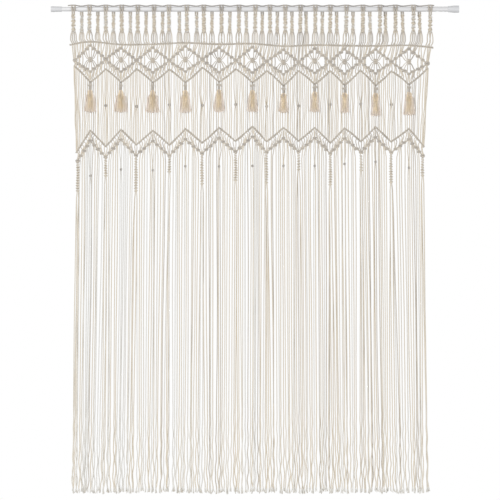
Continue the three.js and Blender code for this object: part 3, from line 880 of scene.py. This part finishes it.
LINES = {
    "hitched_bar": (bar, 0.15, 1),
    "first_zigzag": (first_zigzag, 0.15, 6),
    "second_zigzag": (second_zigzag, 0.25, 6),
}
for name, (line, ends, parts) in LINES.items():
    path = line_points(line, ends, parts)
    if line is bar:
        path = smooth(path, 12 * MM)
    holding = Path(path, HOLDING_TONE, [draw.uniform(0.88, 1.12) for _ in path])
    keep(cords(f"{name}_holding_cord", [holding], HOLDING_CORD), "macrame_panel")
    keep(threaded(name, [holding], hitch, HITCHES), "macrame_panel")

# %% [markdown]
# ## Diamonds
#
# Each side of a diamond is a stair of square knots, four to a leg. Every knot takes two cords from the knot
# before it and two fresh ones. The eight middle cords of a diamond meet in one large knot, its eye, and
# part again, and the outer ones hang straight between the sides. The knots are one shape set on many
# places, each turned and sized a little differently, and the cords between them are drawn from knot to knot.

# %% Knots of the diamonds
STEPS_PER_LEG = 4
TIED_SPREAD = 0.42


def stair(line, skip_crossings=False, crossed=False):
    """Square knots along a zigzag; where two stairs cross, one has a larger knot and the other none"""
    places = []
    for k in range(STEPS_PER_LEG * LEGS + 1):
        crossing = k % (2 * STEPS_PER_LEG) == 0
        if skip_crossings and crossing:
            continue
        point = line.on(k / STEPS_PER_LEG)
        point += Vector((draw.uniform(-0.6, 0.6), draw.uniform(-0.4, 0.4), draw.uniform(-0.6, 0.6))) * MM
        turn = (0, draw.uniform(-0.15, 0.15), pi * (k % 2))
        grown = draw.uniform(0.98, 1.12) * (1.2 if crossed and crossing else 1)
        # Painted shade: the knots take low tones, the dark grey that stands for their shade
        tone = clamp(draw.gauss(0.13, 0.02), 0.05, 0.2)
        places.append(Place(point, turn, (1.02 * grown, grown, 1.22 * grown), tone))
    return places


def tied(line, legs):
    """Where a cord passes a stair of knots: it is drawn towards the nearest one"""
    knot = round(legs * STEPS_PER_LEG) / STEPS_PER_LEG
    return line.on(knot + TIED_SPREAD * (legs - knot))


def carried(line):
    """The two cords that run on from knot to knot along a stair"""
    runs = []
    for way in (-1, 1):
        points = []
        for k in range(2 * STEPS_PER_LEG * LEGS + 1):
            point = line.on(k / (2 * STEPS_PER_LEG), way * (0.6 if k % 2 else 1.6) * MM)
            points.append(point + Vector((0, 0, way * 1.5 * MM)))
        # Painted shade: the carried cords take a low tone
        runs.append(Path(smooth(points, 4 * MM), 0.22))
    return runs


diamond_places = stair(diamond_tops, crossed=True) + stair(diamond_feet, skip_crossings=True)
keep(knots("diamond_knots", diamond_places, square_knot), "macrame_panel")
runs = carried(diamond_tops) + carried(diamond_feet)
keep(cords("cords_from_knot_to_knot", runs, 3.6 * MM), "macrame_panel")

eyes = []
for repeat in REPEATS:
    for dz, width in ((5.8, 0.7), (0, 1.15), (-5.8, 0.7)):
        point = Vector((repeat.x, 0, repeat.eye + dz * MM))
        # Painted shade: the eye knots take a low tone
        eyes.append(Place(point, (0, draw.uniform(-0.1, 0.1), 0), (width, 1.2, 1.1), 0.19))
keep(knots("diamond_eyes", eyes, square_knot), "macrame_panel")

# %% Cords above, in and below the diamonds
WIDE_LEAVE = 9 * MM
KNOTTED_CORD = 4.1 * MM
ABOVE_KNOT = Vector((0, 0, 5 * MM))
ARM_ENDS = [0.1, 0.31, 0.33, 0.46]
ARM_NECKS = [(3.8, 10.5), (9.0, 9.6), (9.6, 9.2), (12.4, 4.6)]


def level(cord, depth):
    """A cord's place in front of or behind the middle plane, by turns"""
    return depth * MM * (1 if cord % 2 else -1)


def arm(number, offset, cord, line, way):
    """From a diamond's side to its eye; way is 1 above the eye and -1 below it"""
    side = 1 if offset > 0 else -1
    rank = min(3, floor(abs(offset) * CORDS_PER_LEG))
    across, up = ARM_NECKS[rank]
    eye = REPEATS[number]
    end = line.on(2 * number + 1 + side * ARM_ENDS[rank])
    neck = Vector((eye.x + side * across * MM, level(cord, 1.8), eye.eye + way * up * MM))
    return [end, (end + neck) / 2, neck]


above, inside, below = [], [], []
for cord in range(CORDS):
    # Painted shade: near the diamonds each cord is darker than its own tone, and darker still in the arms
    # that meet at the eye
    legs, tone = legs_of(cord), 0.1 + 0.5 * TONES[cord]
    start = Vector((bar_x(cord), 0, bar.z(bar_x(cord))))
    top, foot = tied(diamond_tops, legs), tied(diamond_feet, legs)
    bulge = Vector((draw.uniform(-0.8, 0.8) * MM, level(cord, 0.8), 0))
    above.append(Path(smooth([start, (start + top) / 2 + bulge, top + ABOVE_KNOT, top]), tone))

    number = clamp(floor(legs / 2), 0, len(REPEATS) - 1)
    offset = legs - (2 * number + 1)
    if abs(offset) < 0.5:
        root = Vector((REPEATS[number].x + offset * 6 * MM, level(cord, 1.4), REPEATS[number].eye))
        upper = arm(number, offset, cord, diamond_tops, 1)
        lower = arm(number, offset, cord, diamond_feet, -1)
        fine, shade, girth = smooth([*upper, root, *lower[::-1]]), 0.6 * tone, 0.8
    else:
        bow = Vector(((-2 if offset > 0 else 2) * MM, level(cord, 0.6), 0))
        fine, shade, girth = smooth([top, (top + foot) / 2 + bow, foot]), 0.9 * tone, 0.95
    inside.append(Path(fine, shade, [girth] * len(fine)))

    stop = first_zigzag.on(legs)
    near = stop + first_zigzag.square(legs, WIDE_LEAVE)
    below.append(Path(smooth([foot, foot - ABOVE_KNOT, near, stop]), tone))
for where, paths in (("above", above), ("in", inside), ("below", below)):
    keep(cords(f"cords_{where}_diamonds", paths, KNOTTED_CORD), "macrame_panel")

# %% [markdown]
# ## The tall band
#
# Between the two thin zigzags the cords hang straight. Each leaves its hitch square to the line, bends
# down, and bends again to meet the next line squarely. Loose cords never hang quite evenly: each wanders a
# little to the side, and some keep close to a neighbour. Between two tassels a small knot ties two of them.
# A cloth simulation would let them hang dead straight, so the wandering is a sum of slow waves instead.

# %% Wandering
def wander(pick, *waves):
    """A smooth uneven drift: waves are (length, size), the result is a function of a distance"""
    parts = []
    for length, size in waves:
        parts.append((2 * pi / (length * pick.uniform(0.8, 1.25)), pick.uniform(0, 2 * pi), size))
    return lambda t: sum(size * sin(rate * t + start) for rate, start, size in parts)


# %% Straight cords between the zigzags
GATHER_Z = [-352, -355, -349, -351, -348, -355, -353, -348, -346, -348]
GATHER_REACH = 34 * MM
GATHER_SLACK = 150 * MM
OPENS_IN = 30 * MM
TIED_LEGS = 0.125
LEAVE = 2 * MM
TALL_PARTS = 12


def gather_x(valley):
    """A small knot's place across, midway between the corners of the two zigzags"""
    return (first_zigzag.corners[2 * valley][0] + second_zigzag.corners[2 * valley][0]) / 2


def small_knot(x, z, size, tone):
    """A small gathering knot, turned a little"""
    return Place(Vector((x, 0, z * MM)), (0, draw.uniform(-0.2, 0.2), 0), size, tone)


tall, gathers = [], []
for cord in range(CORDS):
    legs = legs_of(cord)
    start, stop = first_zigzag.on(legs), second_zigzag.on(legs)
    leave = start + first_zigzag.square(legs, -LEAVE)
    arrive = stop + second_zigzag.square(legs, LEAVE)
    valley = round(legs / 2)
    offset = legs - 2 * valley
    side = 1 if offset > 0 else -1
    near_knot = 0 < valley < len(VALLEYS) - 1
    gathered = near_knot and abs(offset) < TIED_LEGS
    aside = wander(draw, (0.16, 1.3 * MM), (0.07, 0.5 * MM))
    depth = wander(draw, (0.12, 1.0 * MM))
    points = [start, leave]
    for t in [k / TALL_PARTS for k in range(1, TALL_PARTS)]:
        z = leave.z + t * (arrive.z - leave.z)
        x = leave.x + t * (arrive.x - leave.x)
        free = sin(pi * t)
        x += free * aside(z)
        if near_knot:
            above_knot = z - GATHER_Z[valley - 1] * MM
            pull = max(0.0, 1 - max(above_knot / GATHER_REACH, -above_knot / GATHER_SLACK))
            if gathered:
                half = 1.0 + 2.4 * clamp(-above_knot / OPENS_IN)
                x += (gather_x(valley) + side * half * MM - x) * pull
            elif abs(offset) < 2 * TIED_LEGS:
                x -= side * 2.5 * MM * pull
        points.append(Vector((x, level(cord, 1.9 if gathered else 0.9) + free * depth(z), z)))
    points += [arrive, stop]
    tall.append(Path(smooth(points, 16 * MM), TONES[cord]))
for valley, z in enumerate(GATHER_Z, 1):
    # Painted shade: the small knots take a very low tone, the dark grey
    gathers.append(small_knot(gather_x(valley), z, (0.78, 0.95, 1.3), 0.05))
keep(cords("tall_band_cords", tall, 3.85 * MM), "macrame_panel")
keep(knots("upper_small_knots", gathers, square_knot), "macrame_panel")

# %% [markdown]
# ## The knotted zigzag
#
# Under the second thin zigzag the cords run on a short way, to a last stair of square knots. A thin sinnet
# hangs from each of its low points, some long and some short. Both are made by helpers that the diamonds
# and the top sinnets already needed.

# %% Strip and knots
strip = []
for cord in range(CORDS):
    legs = legs_of(cord)
    start, stop = second_zigzag.on(legs), tied(knotted_zigzag, legs)
    leave = start + second_zigzag.square(legs, -1.2 * WIDE_LEAVE)
    # Painted shade: the strip cords are darker than their own tone
    strip.append(Path(smooth([start, leave, stop + ABOVE_KNOT, stop]), 0.06 + 0.45 * TONES[cord]))
keep(cords("strip_cords", strip, 3.8 * MM), "fringe")
keep(knots("knotted_zigzag", stair(knotted_zigzag), square_knot), "fringe")
keep(cords("last_carried_cords", carried(knotted_zigzag), 3.3 * MM), "fringe")

# %% Thin sinnets
THIN_KNOTS = {"Spacing": 9 * MM, "Turns per metre": 3.0, "Unevenness": 0.12, "Seed": 9}
THIN_PARTS = 8

rows, cores = [], []
for valley in VALLEYS:
    top = valley.low - KNOTTED_DROP - 4 * MM
    wobble = wander(draw, (0.09, 0.4 * MM))
    heights = [top + (valley.end - top) * n / THIN_PARTS for n in range(THIN_PARTS + 1)]
    fine = smooth([Vector((valley.lower + wobble(z) - wobble(top), 0, z)) for z in heights])
    rows.append(Path(fine, [draw.uniform(0.35, 0.75) for _ in fine]))
    # Painted shade: the core cords take a low tone
    cores += core_pair(fine, 4 * MM, tone=0.22, girth=0.8)
keep(threaded("thin_sinnets", rows, half_knot, THIN_KNOTS), "fringe")
keep(cords("thin_sinnet_cores", cores), "fringe")

# %% [markdown]
# ## The fringe
#
# The 180 cords hang free from here to the hem, more than a metre. Two cords come out of every knot, so
# they hang in pairs that drift apart and together. Beside a thin sinnet the others close in on its four
# cords, and in the middle of each repeat a small knot gathers two. Near the hem the cords ripple, each is
# cut at its own length, and its plies open into a small tuft.
#
# A cord's place is its straight line down plus a few drifts, each with its own size and length. They come in
# step by step below the knots, so that nothing jumps at the top.

# %% Sizes of the fringe
HEM_Z = -1766 * MM
HEM_UNEVEN = 5 * MM
HEM_SPREAD = 1.027
CURTAIN_MIDDLE_X = -17 * MM
LOWER_KNOT_Z = [-608, -585, -588, -573, -574, -572, -572, -572, -565, -557, -579]
STRAIGHT_PARTS = 22
RIPPLE_PARTS = 42
RIPPLE_FROM = -1.38
DRIFTS_IN = 0.12
DEPTH_IN = 0.2
GATHER_EASE = 44 * MM
GATHER_ABOVE = 20 * MM
LONG_SLACK = 1.1
CLOSING_ROOM = 6 * MM
CLOSED_FOR = 0.9

hang = Random(23)
pairs = []
for _ in range(CORDS // 2 + 1):
    aside = hang.uniform(-1.8, 1.8) * MM
    pairs.append((aside, wander(hang, (1.6, 0.9 * MM), (0.8, 0.3 * MM)), wander(hang, (1.3, 0.6 * MM))))


def closing(offset):
    """How far a cord moves over, towards the four cords that a thin sinnet holds together"""
    near = max(0.0, 1 - (abs(offset) - 2 * TIED_LEGS) / 0.6)
    return (-1 if offset > 0 else 1) * near * CLOSING_ROOM


def rippled(z):
    """0 down to where the cords start to ripple, and 1 at the hem"""
    return max(0.0, (RIPPLE_FROM - z) / (RIPPLE_FROM - HEM_Z))


# %% Opened ends
FRAY = 18 * MM
FRAY_PARTS = 5
FRAY_GIRTHS = [1.0, 1.2, 1.3, 1.35, 1.25, 0.8]


def opened_end(end):
    """The three plies of a cut end, spread and curled"""
    paths = []
    for ply in range(PLIES):
        a = 2 * pi * ply / PLIES + hang.uniform(0, 2)
        reach = hang.uniform(1.0, 4.0) * MM
        length = FRAY * hang.uniform(0.85, 1.1)
        curl = hang.uniform(-3, 3) * MM
        tip = []
        for t in [k / FRAY_PARTS for k in range(FRAY_PARTS + 1)]:
            spread = 0.7 * MM + reach * t ** 1.2
            step = Vector((spread * cos(a) + curl * t * t, 0.8 * spread * sin(a), 2 * MM - length * t))
            tip.append(end + step)
        # Painted shade: one ply of three takes the dark grey, so each tuft reads darker and greyer
        paths.append(Path(tip, 1.0 if ply else 0.21, FRAY_GIRTHS))
    return paths


# %% Long cords
fringe, tufts, gathers = [], [], []
for cord in range(CORDS):
    legs, tone = legs_of(cord), TONES[cord]
    x = knotted_zigzag.x(legs)
    root = tied(knotted_zigzag, legs)
    valley = VALLEYS[round(legs / 2)]
    offset = legs - 2 * round(legs / 2)
    side = 1 if offset > 0 else -1
    in_sinnet = abs(offset) < 2 * TIED_LEGS
    if in_sinnet:
        root = Vector((valley.lower + side * 1.5 * MM, level(cord, 1.9), valley.end + 4 * MM))
    middle = round((legs - 1) / 2)
    from_middle = legs - 1 - 2 * middle
    gathered = 0 <= middle < len(REPEATS) and abs(from_middle) < TIED_LEGS
    hem_x = CURTAIN_MIDDLE_X + (x - CURTAIN_MIDDLE_X) * HEM_SPREAD + hang.uniform(-1.5, 1.5) * MM
    hem_z = HEM_Z + HEM_UNEVEN * hang.uniform(-1, 1) + FRAY
    aside, drift, gap = pairs[(cord + 1) // 2]
    apart = hang.uniform(-1.4, 1.4) * MM
    own = wander(hang, (0.9, 0.4 * MM), (0.2, 0.12 * MM))
    depth = wander(hang, (0.5, 2.2 * MM), (0.2, 1.0 * MM))
    ripple = wander(hang, (0.11, 2.4 * MM), (0.06, 1.1 * MM))
    partner = 1 if cord % 2 else -1
    heights = [root.z + (RIPPLE_FROM - root.z) * k / STRAIGHT_PARTS for k in range(STRAIGHT_PARTS)]
    heights += [RIPPLE_FROM + (hem_z - RIPPLE_FROM) * k / RIPPLE_PARTS for k in range(RIPPLE_PARTS + 1)]
    points = []
    for z in heights:
        fallen = root.z - z
        here = root.x + (x - root.x) * min(1.0, fallen / (CLOSED_FOR if in_sinnet else 0.025))
        here += (hem_x - x) * fallen / (root.z - hem_z)
        here += min(1.0, fallen / DRIFTS_IN) * (aside + drift(z) + partner * (gap(z) + apart) + own(z))
        if in_sinnet:
            here += side * 2.4 * MM * max(0.0, min(1.0, fallen / OPENS_IN) - fallen / CLOSED_FOR)
        here += ripple(z) * rippled(z) ** 1.3
        if not in_sinnet:
            here += closing(offset) * min(1.0, max(0.0, 1 - (valley.end - z) / CLOSED_FOR), fallen / 0.02)
        deep = root.y + min(1.0, fallen / DEPTH_IN) * (depth(z) + level(cord, 0.6) - root.y)
        if gathered:
            above_knot = z - LOWER_KNOT_Z[middle] * MM
            pull = clamp((GATHER_ABOVE + GATHER_EASE - above_knot) / GATHER_EASE)
            pull *= clamp(1 + above_knot / LONG_SLACK)
            pull = pull * pull * (3 - 2 * pull)
            half = (0.9 + 2.5 * clamp(-above_knot / OPENS_IN)) * MM
            here += (REPEATS[middle].x + (half if from_middle > 0 else -half) - here) * pull
            deep += (level(cord, 1.9) - deep) * pull
        points.append(Vector((here, deep, z)))
    # Painted light and shade: towards the left and towards the hem each cord's tone is pushed further from
    # 0.22, pale cords paler and greyer and dark ones darker, for the cooler light there and the shade between
    # cords
    contrast = 0.6 * (1 - cord / CORDS)
    falls = [(root.z - z) / (root.z - hem_z) for z in heights]
    tones = [max(tone + (tone - 0.22) * (contrast + 0.5 * fall), 0.17) for fall in falls]
    fringe.append(Path(points, tones, [1 + 0.16 * rippled(z) for z in heights]))
    tufts += opened_end(points[-1])
for repeat, z in zip(REPEATS, LOWER_KNOT_Z):
    # Painted shade: the small knots take a very low tone, the dark grey
    gathers.append(small_knot(repeat.x, z, (0.62, 0.9, 1.15), 0.03))
keep(cords("fringe_cords", fringe), "fringe")
keep(cords("frayed_ends", tufts, 2.6 * MM, sides=5), "fringe")
keep(knots("lower_small_knots", gathers, square_knot), "fringe")

# %% [markdown]
# ## Tassels
#
# A tassel is a bundle of short cords tied round its middle, with a thin loop up to the low point of the
# first zigzag and a small bow on the loop. Its threads leave a tight neck, round over a shoulder, and hang
# as a bell with nearly straight sides. Each thread is a path of its own, swept by the same tree as the
# cords. They are set out like the seeds of a sunflower, which fills a round bundle evenly.

# %% Tassel threads
THREADS = 84
THREAD = 1.7 * MM
TASSEL_OUT = 9.2 * MM
NECK_DROP = 22 * MM
SEED_TURN = 0.618


def tassel_threads(repeat, neck, pick):
    """From the neck over the shoulder to the skirt's edge; they are golden, pale at the sides as painted
    sheen, and pale at the end
    """
    paths = []
    wide = repeat.skirt
    shoulder = 16.5 * MM - 0.17 * wide
    for n in range(THREADS):
        angle = 2 * pi * (n * SEED_TURN)
        rank = ((n + 0.5) / THREADS) ** 0.65
        out = Vector((cos(angle) * rank, sin(angle) * rank * 0.5, 0))
        foot = repeat.foot - neck.z + pick.uniform(-0.002, 0.004) + 0.003 * abs(out.x)
        sag = wander(pick, (0.05, 0.6 * MM))
        rings = [
            (3 * MM, 2.2 * MM),
            (-5 * MM, 3.0 * MM),
            (-11 * MM, shoulder),
            (-18 * MM, 1.35 * shoulder),
            (-29 * MM, 0.34 * wide),
            (0.5 * foot, 0.39 * wide),
            (0.75 * foot, 0.44 * wide),
            (foot, 0.51 * wide),
        ]
        points = []
        for dz, reach in rings:
            aside = out * reach
            aside.x += sag(dz) * clamp(-dz / (20 * MM))
            points.append(neck + aside + Vector((0, 0, dz)))
        fine = smooth(points, 9 * MM)
        own = pick.gauss(0, 0.06)
        tones = []
        for p in fine:
            down = (p.z - neck.z) / foot
            golden = clamp((down - 0.1) / 0.4)
            # Painted sheen: the threads at the sides are pale from the shoulder down; the foot is pale too
            pale = clamp(max((2.4 * abs(out.x) - 0.7) * min(down / 0.25, 1.0), 4 * down - 3.1))
            tones.append(clamp(0.6 * golden + pale * (0.95 - 0.6 * golden) + own))
        paths.append(Path(fine, tones))
    return paths


# %% Eleven tassels
TIE_CORD = 2.8 * MM
TIE_TURNS = 5
BOW_DROP = 11.5 * MM


def tassel_tie(hang_from, neck):
    """The loop over the zigzag, in two strands, and the winding round the neck"""
    paths = []
    for dx in (-1, 1):
        over = [(dx, 9.2, 1), (2 * dx, 3, 2.4), (1.9 * dx, 0, -1)]
        down = [(1.6 * dx, -1, -8), (-1.8 * dx, -1, -13), (0.8 * dx, 0, -24)]
        # Painted shade: the loop strands take a low tone
        paths.append(Path(smooth([hang_from + Vector(p) * MM for p in over + down], 4 * MM), 0.1))
    ring = loop(3 * MM, 3 * MM, 0, 10)
    for turn in range(TIE_TURNS):
        middle = Vector((neck.x, neck.y, neck.z + (4.8 - 2.3 * turn) * MM))
        # Painted shade: the windings take a low tone
        paths.append(Path([middle + step for step in ring], 0.12, closed=True))
    return paths


bows, tassel_nodes = [], []
for number, repeat in enumerate(REPEATS, 1):
    node = f"tassel_{number:02d}"
    pick = Random(100 + number)
    hang_from = Vector((repeat.x, -TASSEL_OUT, repeat.vee))
    neck = hang_from - Vector((0, 0, NECK_DROP))
    skirt = cords(f"{node}_skirt", tassel_threads(repeat, neck, pick), THREAD, 4, warm_cotton)
    keep(skirt, node, slot="warm_cotton")
    keep(cords(f"{node}_tie", tassel_tie(hang_from, neck), TIE_CORD, sides=5), node)
    bow_turn = (0, pick.uniform(-0.25, 0.25), 0)
    bow_size = (pick.uniform(0.95, 1.2), 1.0, 1.15)
    # Painted shade: the bow knots take a low tone
    bows.append(Place(hang_from - Vector((0, 0, BOW_DROP)), bow_turn, bow_size, 0.17))
    tassel_nodes.append(node)
keep(knots("tassel_bows", bows, square_knot), *tassel_nodes)

# %% [markdown]
# ## The rod
#
# Two thin steel tubes with white enamel slide one in the other, and a plastic cup closes each end. A tube
# could be a plain cylinder, but real edges catch the light, so each piece is a profile turned round the axis
# with its corners eased.

# %% Turned pieces
ROD_SIDES = 64
EDGE_ROUNDING = 0.45 * MM


def turned(name, profile, finish, slot, node, towards=1):
    """A closed profile of (x, radius) turned round the rod's axis, with eased corners"""
    eased = []
    for n, here in enumerate(profile):
        before, after = Vector(profile[n - 1]), Vector(profile[(n + 1) % len(profile)])
        here = Vector(here)
        ease = min(EDGE_ROUNDING, 0.4 * (here - before).length, 0.4 * (after - here).length)
        arrive = here + (before - here).normalized() * ease
        leave = here + (after - here).normalized() * ease
        for t in (0, 0.33, 0.67, 1):
            eased.append((1 - t) ** 2 * arrive + 2 * t * (1 - t) * here + t * t * leave)
    points, faces = [], []
    count = len(eased)
    for s in range(ROD_SIDES):
        a = 2 * pi * s / ROD_SIDES
        points += [(towards * p.x, max(p.y, 0) * cos(a), max(p.y, 0) * sin(a)) for p in eased]
        for n in range(count):
            m = (n + 1) % count
            other = (s + 1) % ROD_SIDES
            faces.append((s * count + n, s * count + m, other * count + m, other * count + n))
    mesh = bpy.data.meshes.new(name)
    mesh.from_pydata(points, [], faces)
    edit = bmesh.new()
    edit.from_mesh(mesh)
    bmesh.ops.remove_doubles(edit, verts=edit.verts, dist=1e-6)
    bmesh.ops.dissolve_degenerate(edit, edges=edit.edges, dist=1e-7)
    bmesh.ops.recalc_face_normals(edit, faces=edit.faces)
    edit.to_mesh(mesh)
    edit.free()
    mesh.materials.append(finish)
    for face in mesh.polygons:
        face.use_smooth = True
    piece = show(name, mesh)
    mesh.set_sharp_from_angle(angle=radians(50))
    keep(piece, node, slot=slot)


# %% Two tubes and two caps
ROD_END = 744.5 * MM
TUBE_END = 734.2 * MM
TUBE_WALL = 1 * MM
OUTER_TUBE_R = 9.5 * MM
INNER_TUBE_R = 8 * MM
CAP_INSIDE = ROD_END - 10 * MM
CAP_MOUTH = ROD_END - 40 * MM
CAP_CLEARANCE = 0.3 * MM
CAP_RIM = 1.4 * MM


def tube(name, left, right, outer, node):
    """A tube along the rod's axis, open at both ends"""
    inner = outer - TUBE_WALL
    profile = [(left, inner), (right, inner), (right, outer), (left, outer)]
    turned(name, profile, white_enamel, "rod_enamel", node)


def end_cap(name, towards, face_r, tube_r, shoulder, node):
    """A cup over a tube's end: a flat face, a straight shoulder, and a taper to its mouth"""
    hole = tube_r + CAP_CLEARANCE
    outside = [(ROD_END, 0), (ROD_END, face_r), (ROD_END - shoulder, face_r), (CAP_MOUTH, tube_r + CAP_RIM)]
    inside = [(CAP_MOUTH, hole), (CAP_INSIDE, hole), (CAP_INSIDE, 0)]
    turned(name, outside + inside, cap_plastic, "cap_plastic", node, towards)


tube("outer_tube", -646 * MM, TUBE_END, OUTER_TUBE_R, "rod_outer_tube")
tube("inner_tube", -TUBE_END, -466 * MM, INNER_TUBE_R, "rod_inner_tube")
end_cap("left_cap", -1, 10.6 * MM, INNER_TUBE_R, 6 * MM, "rod_cap_left")
end_cap("right_cap", 1, 13.1 * MM, OUTER_TUBE_R, 18 * MM, "rod_cap_right")
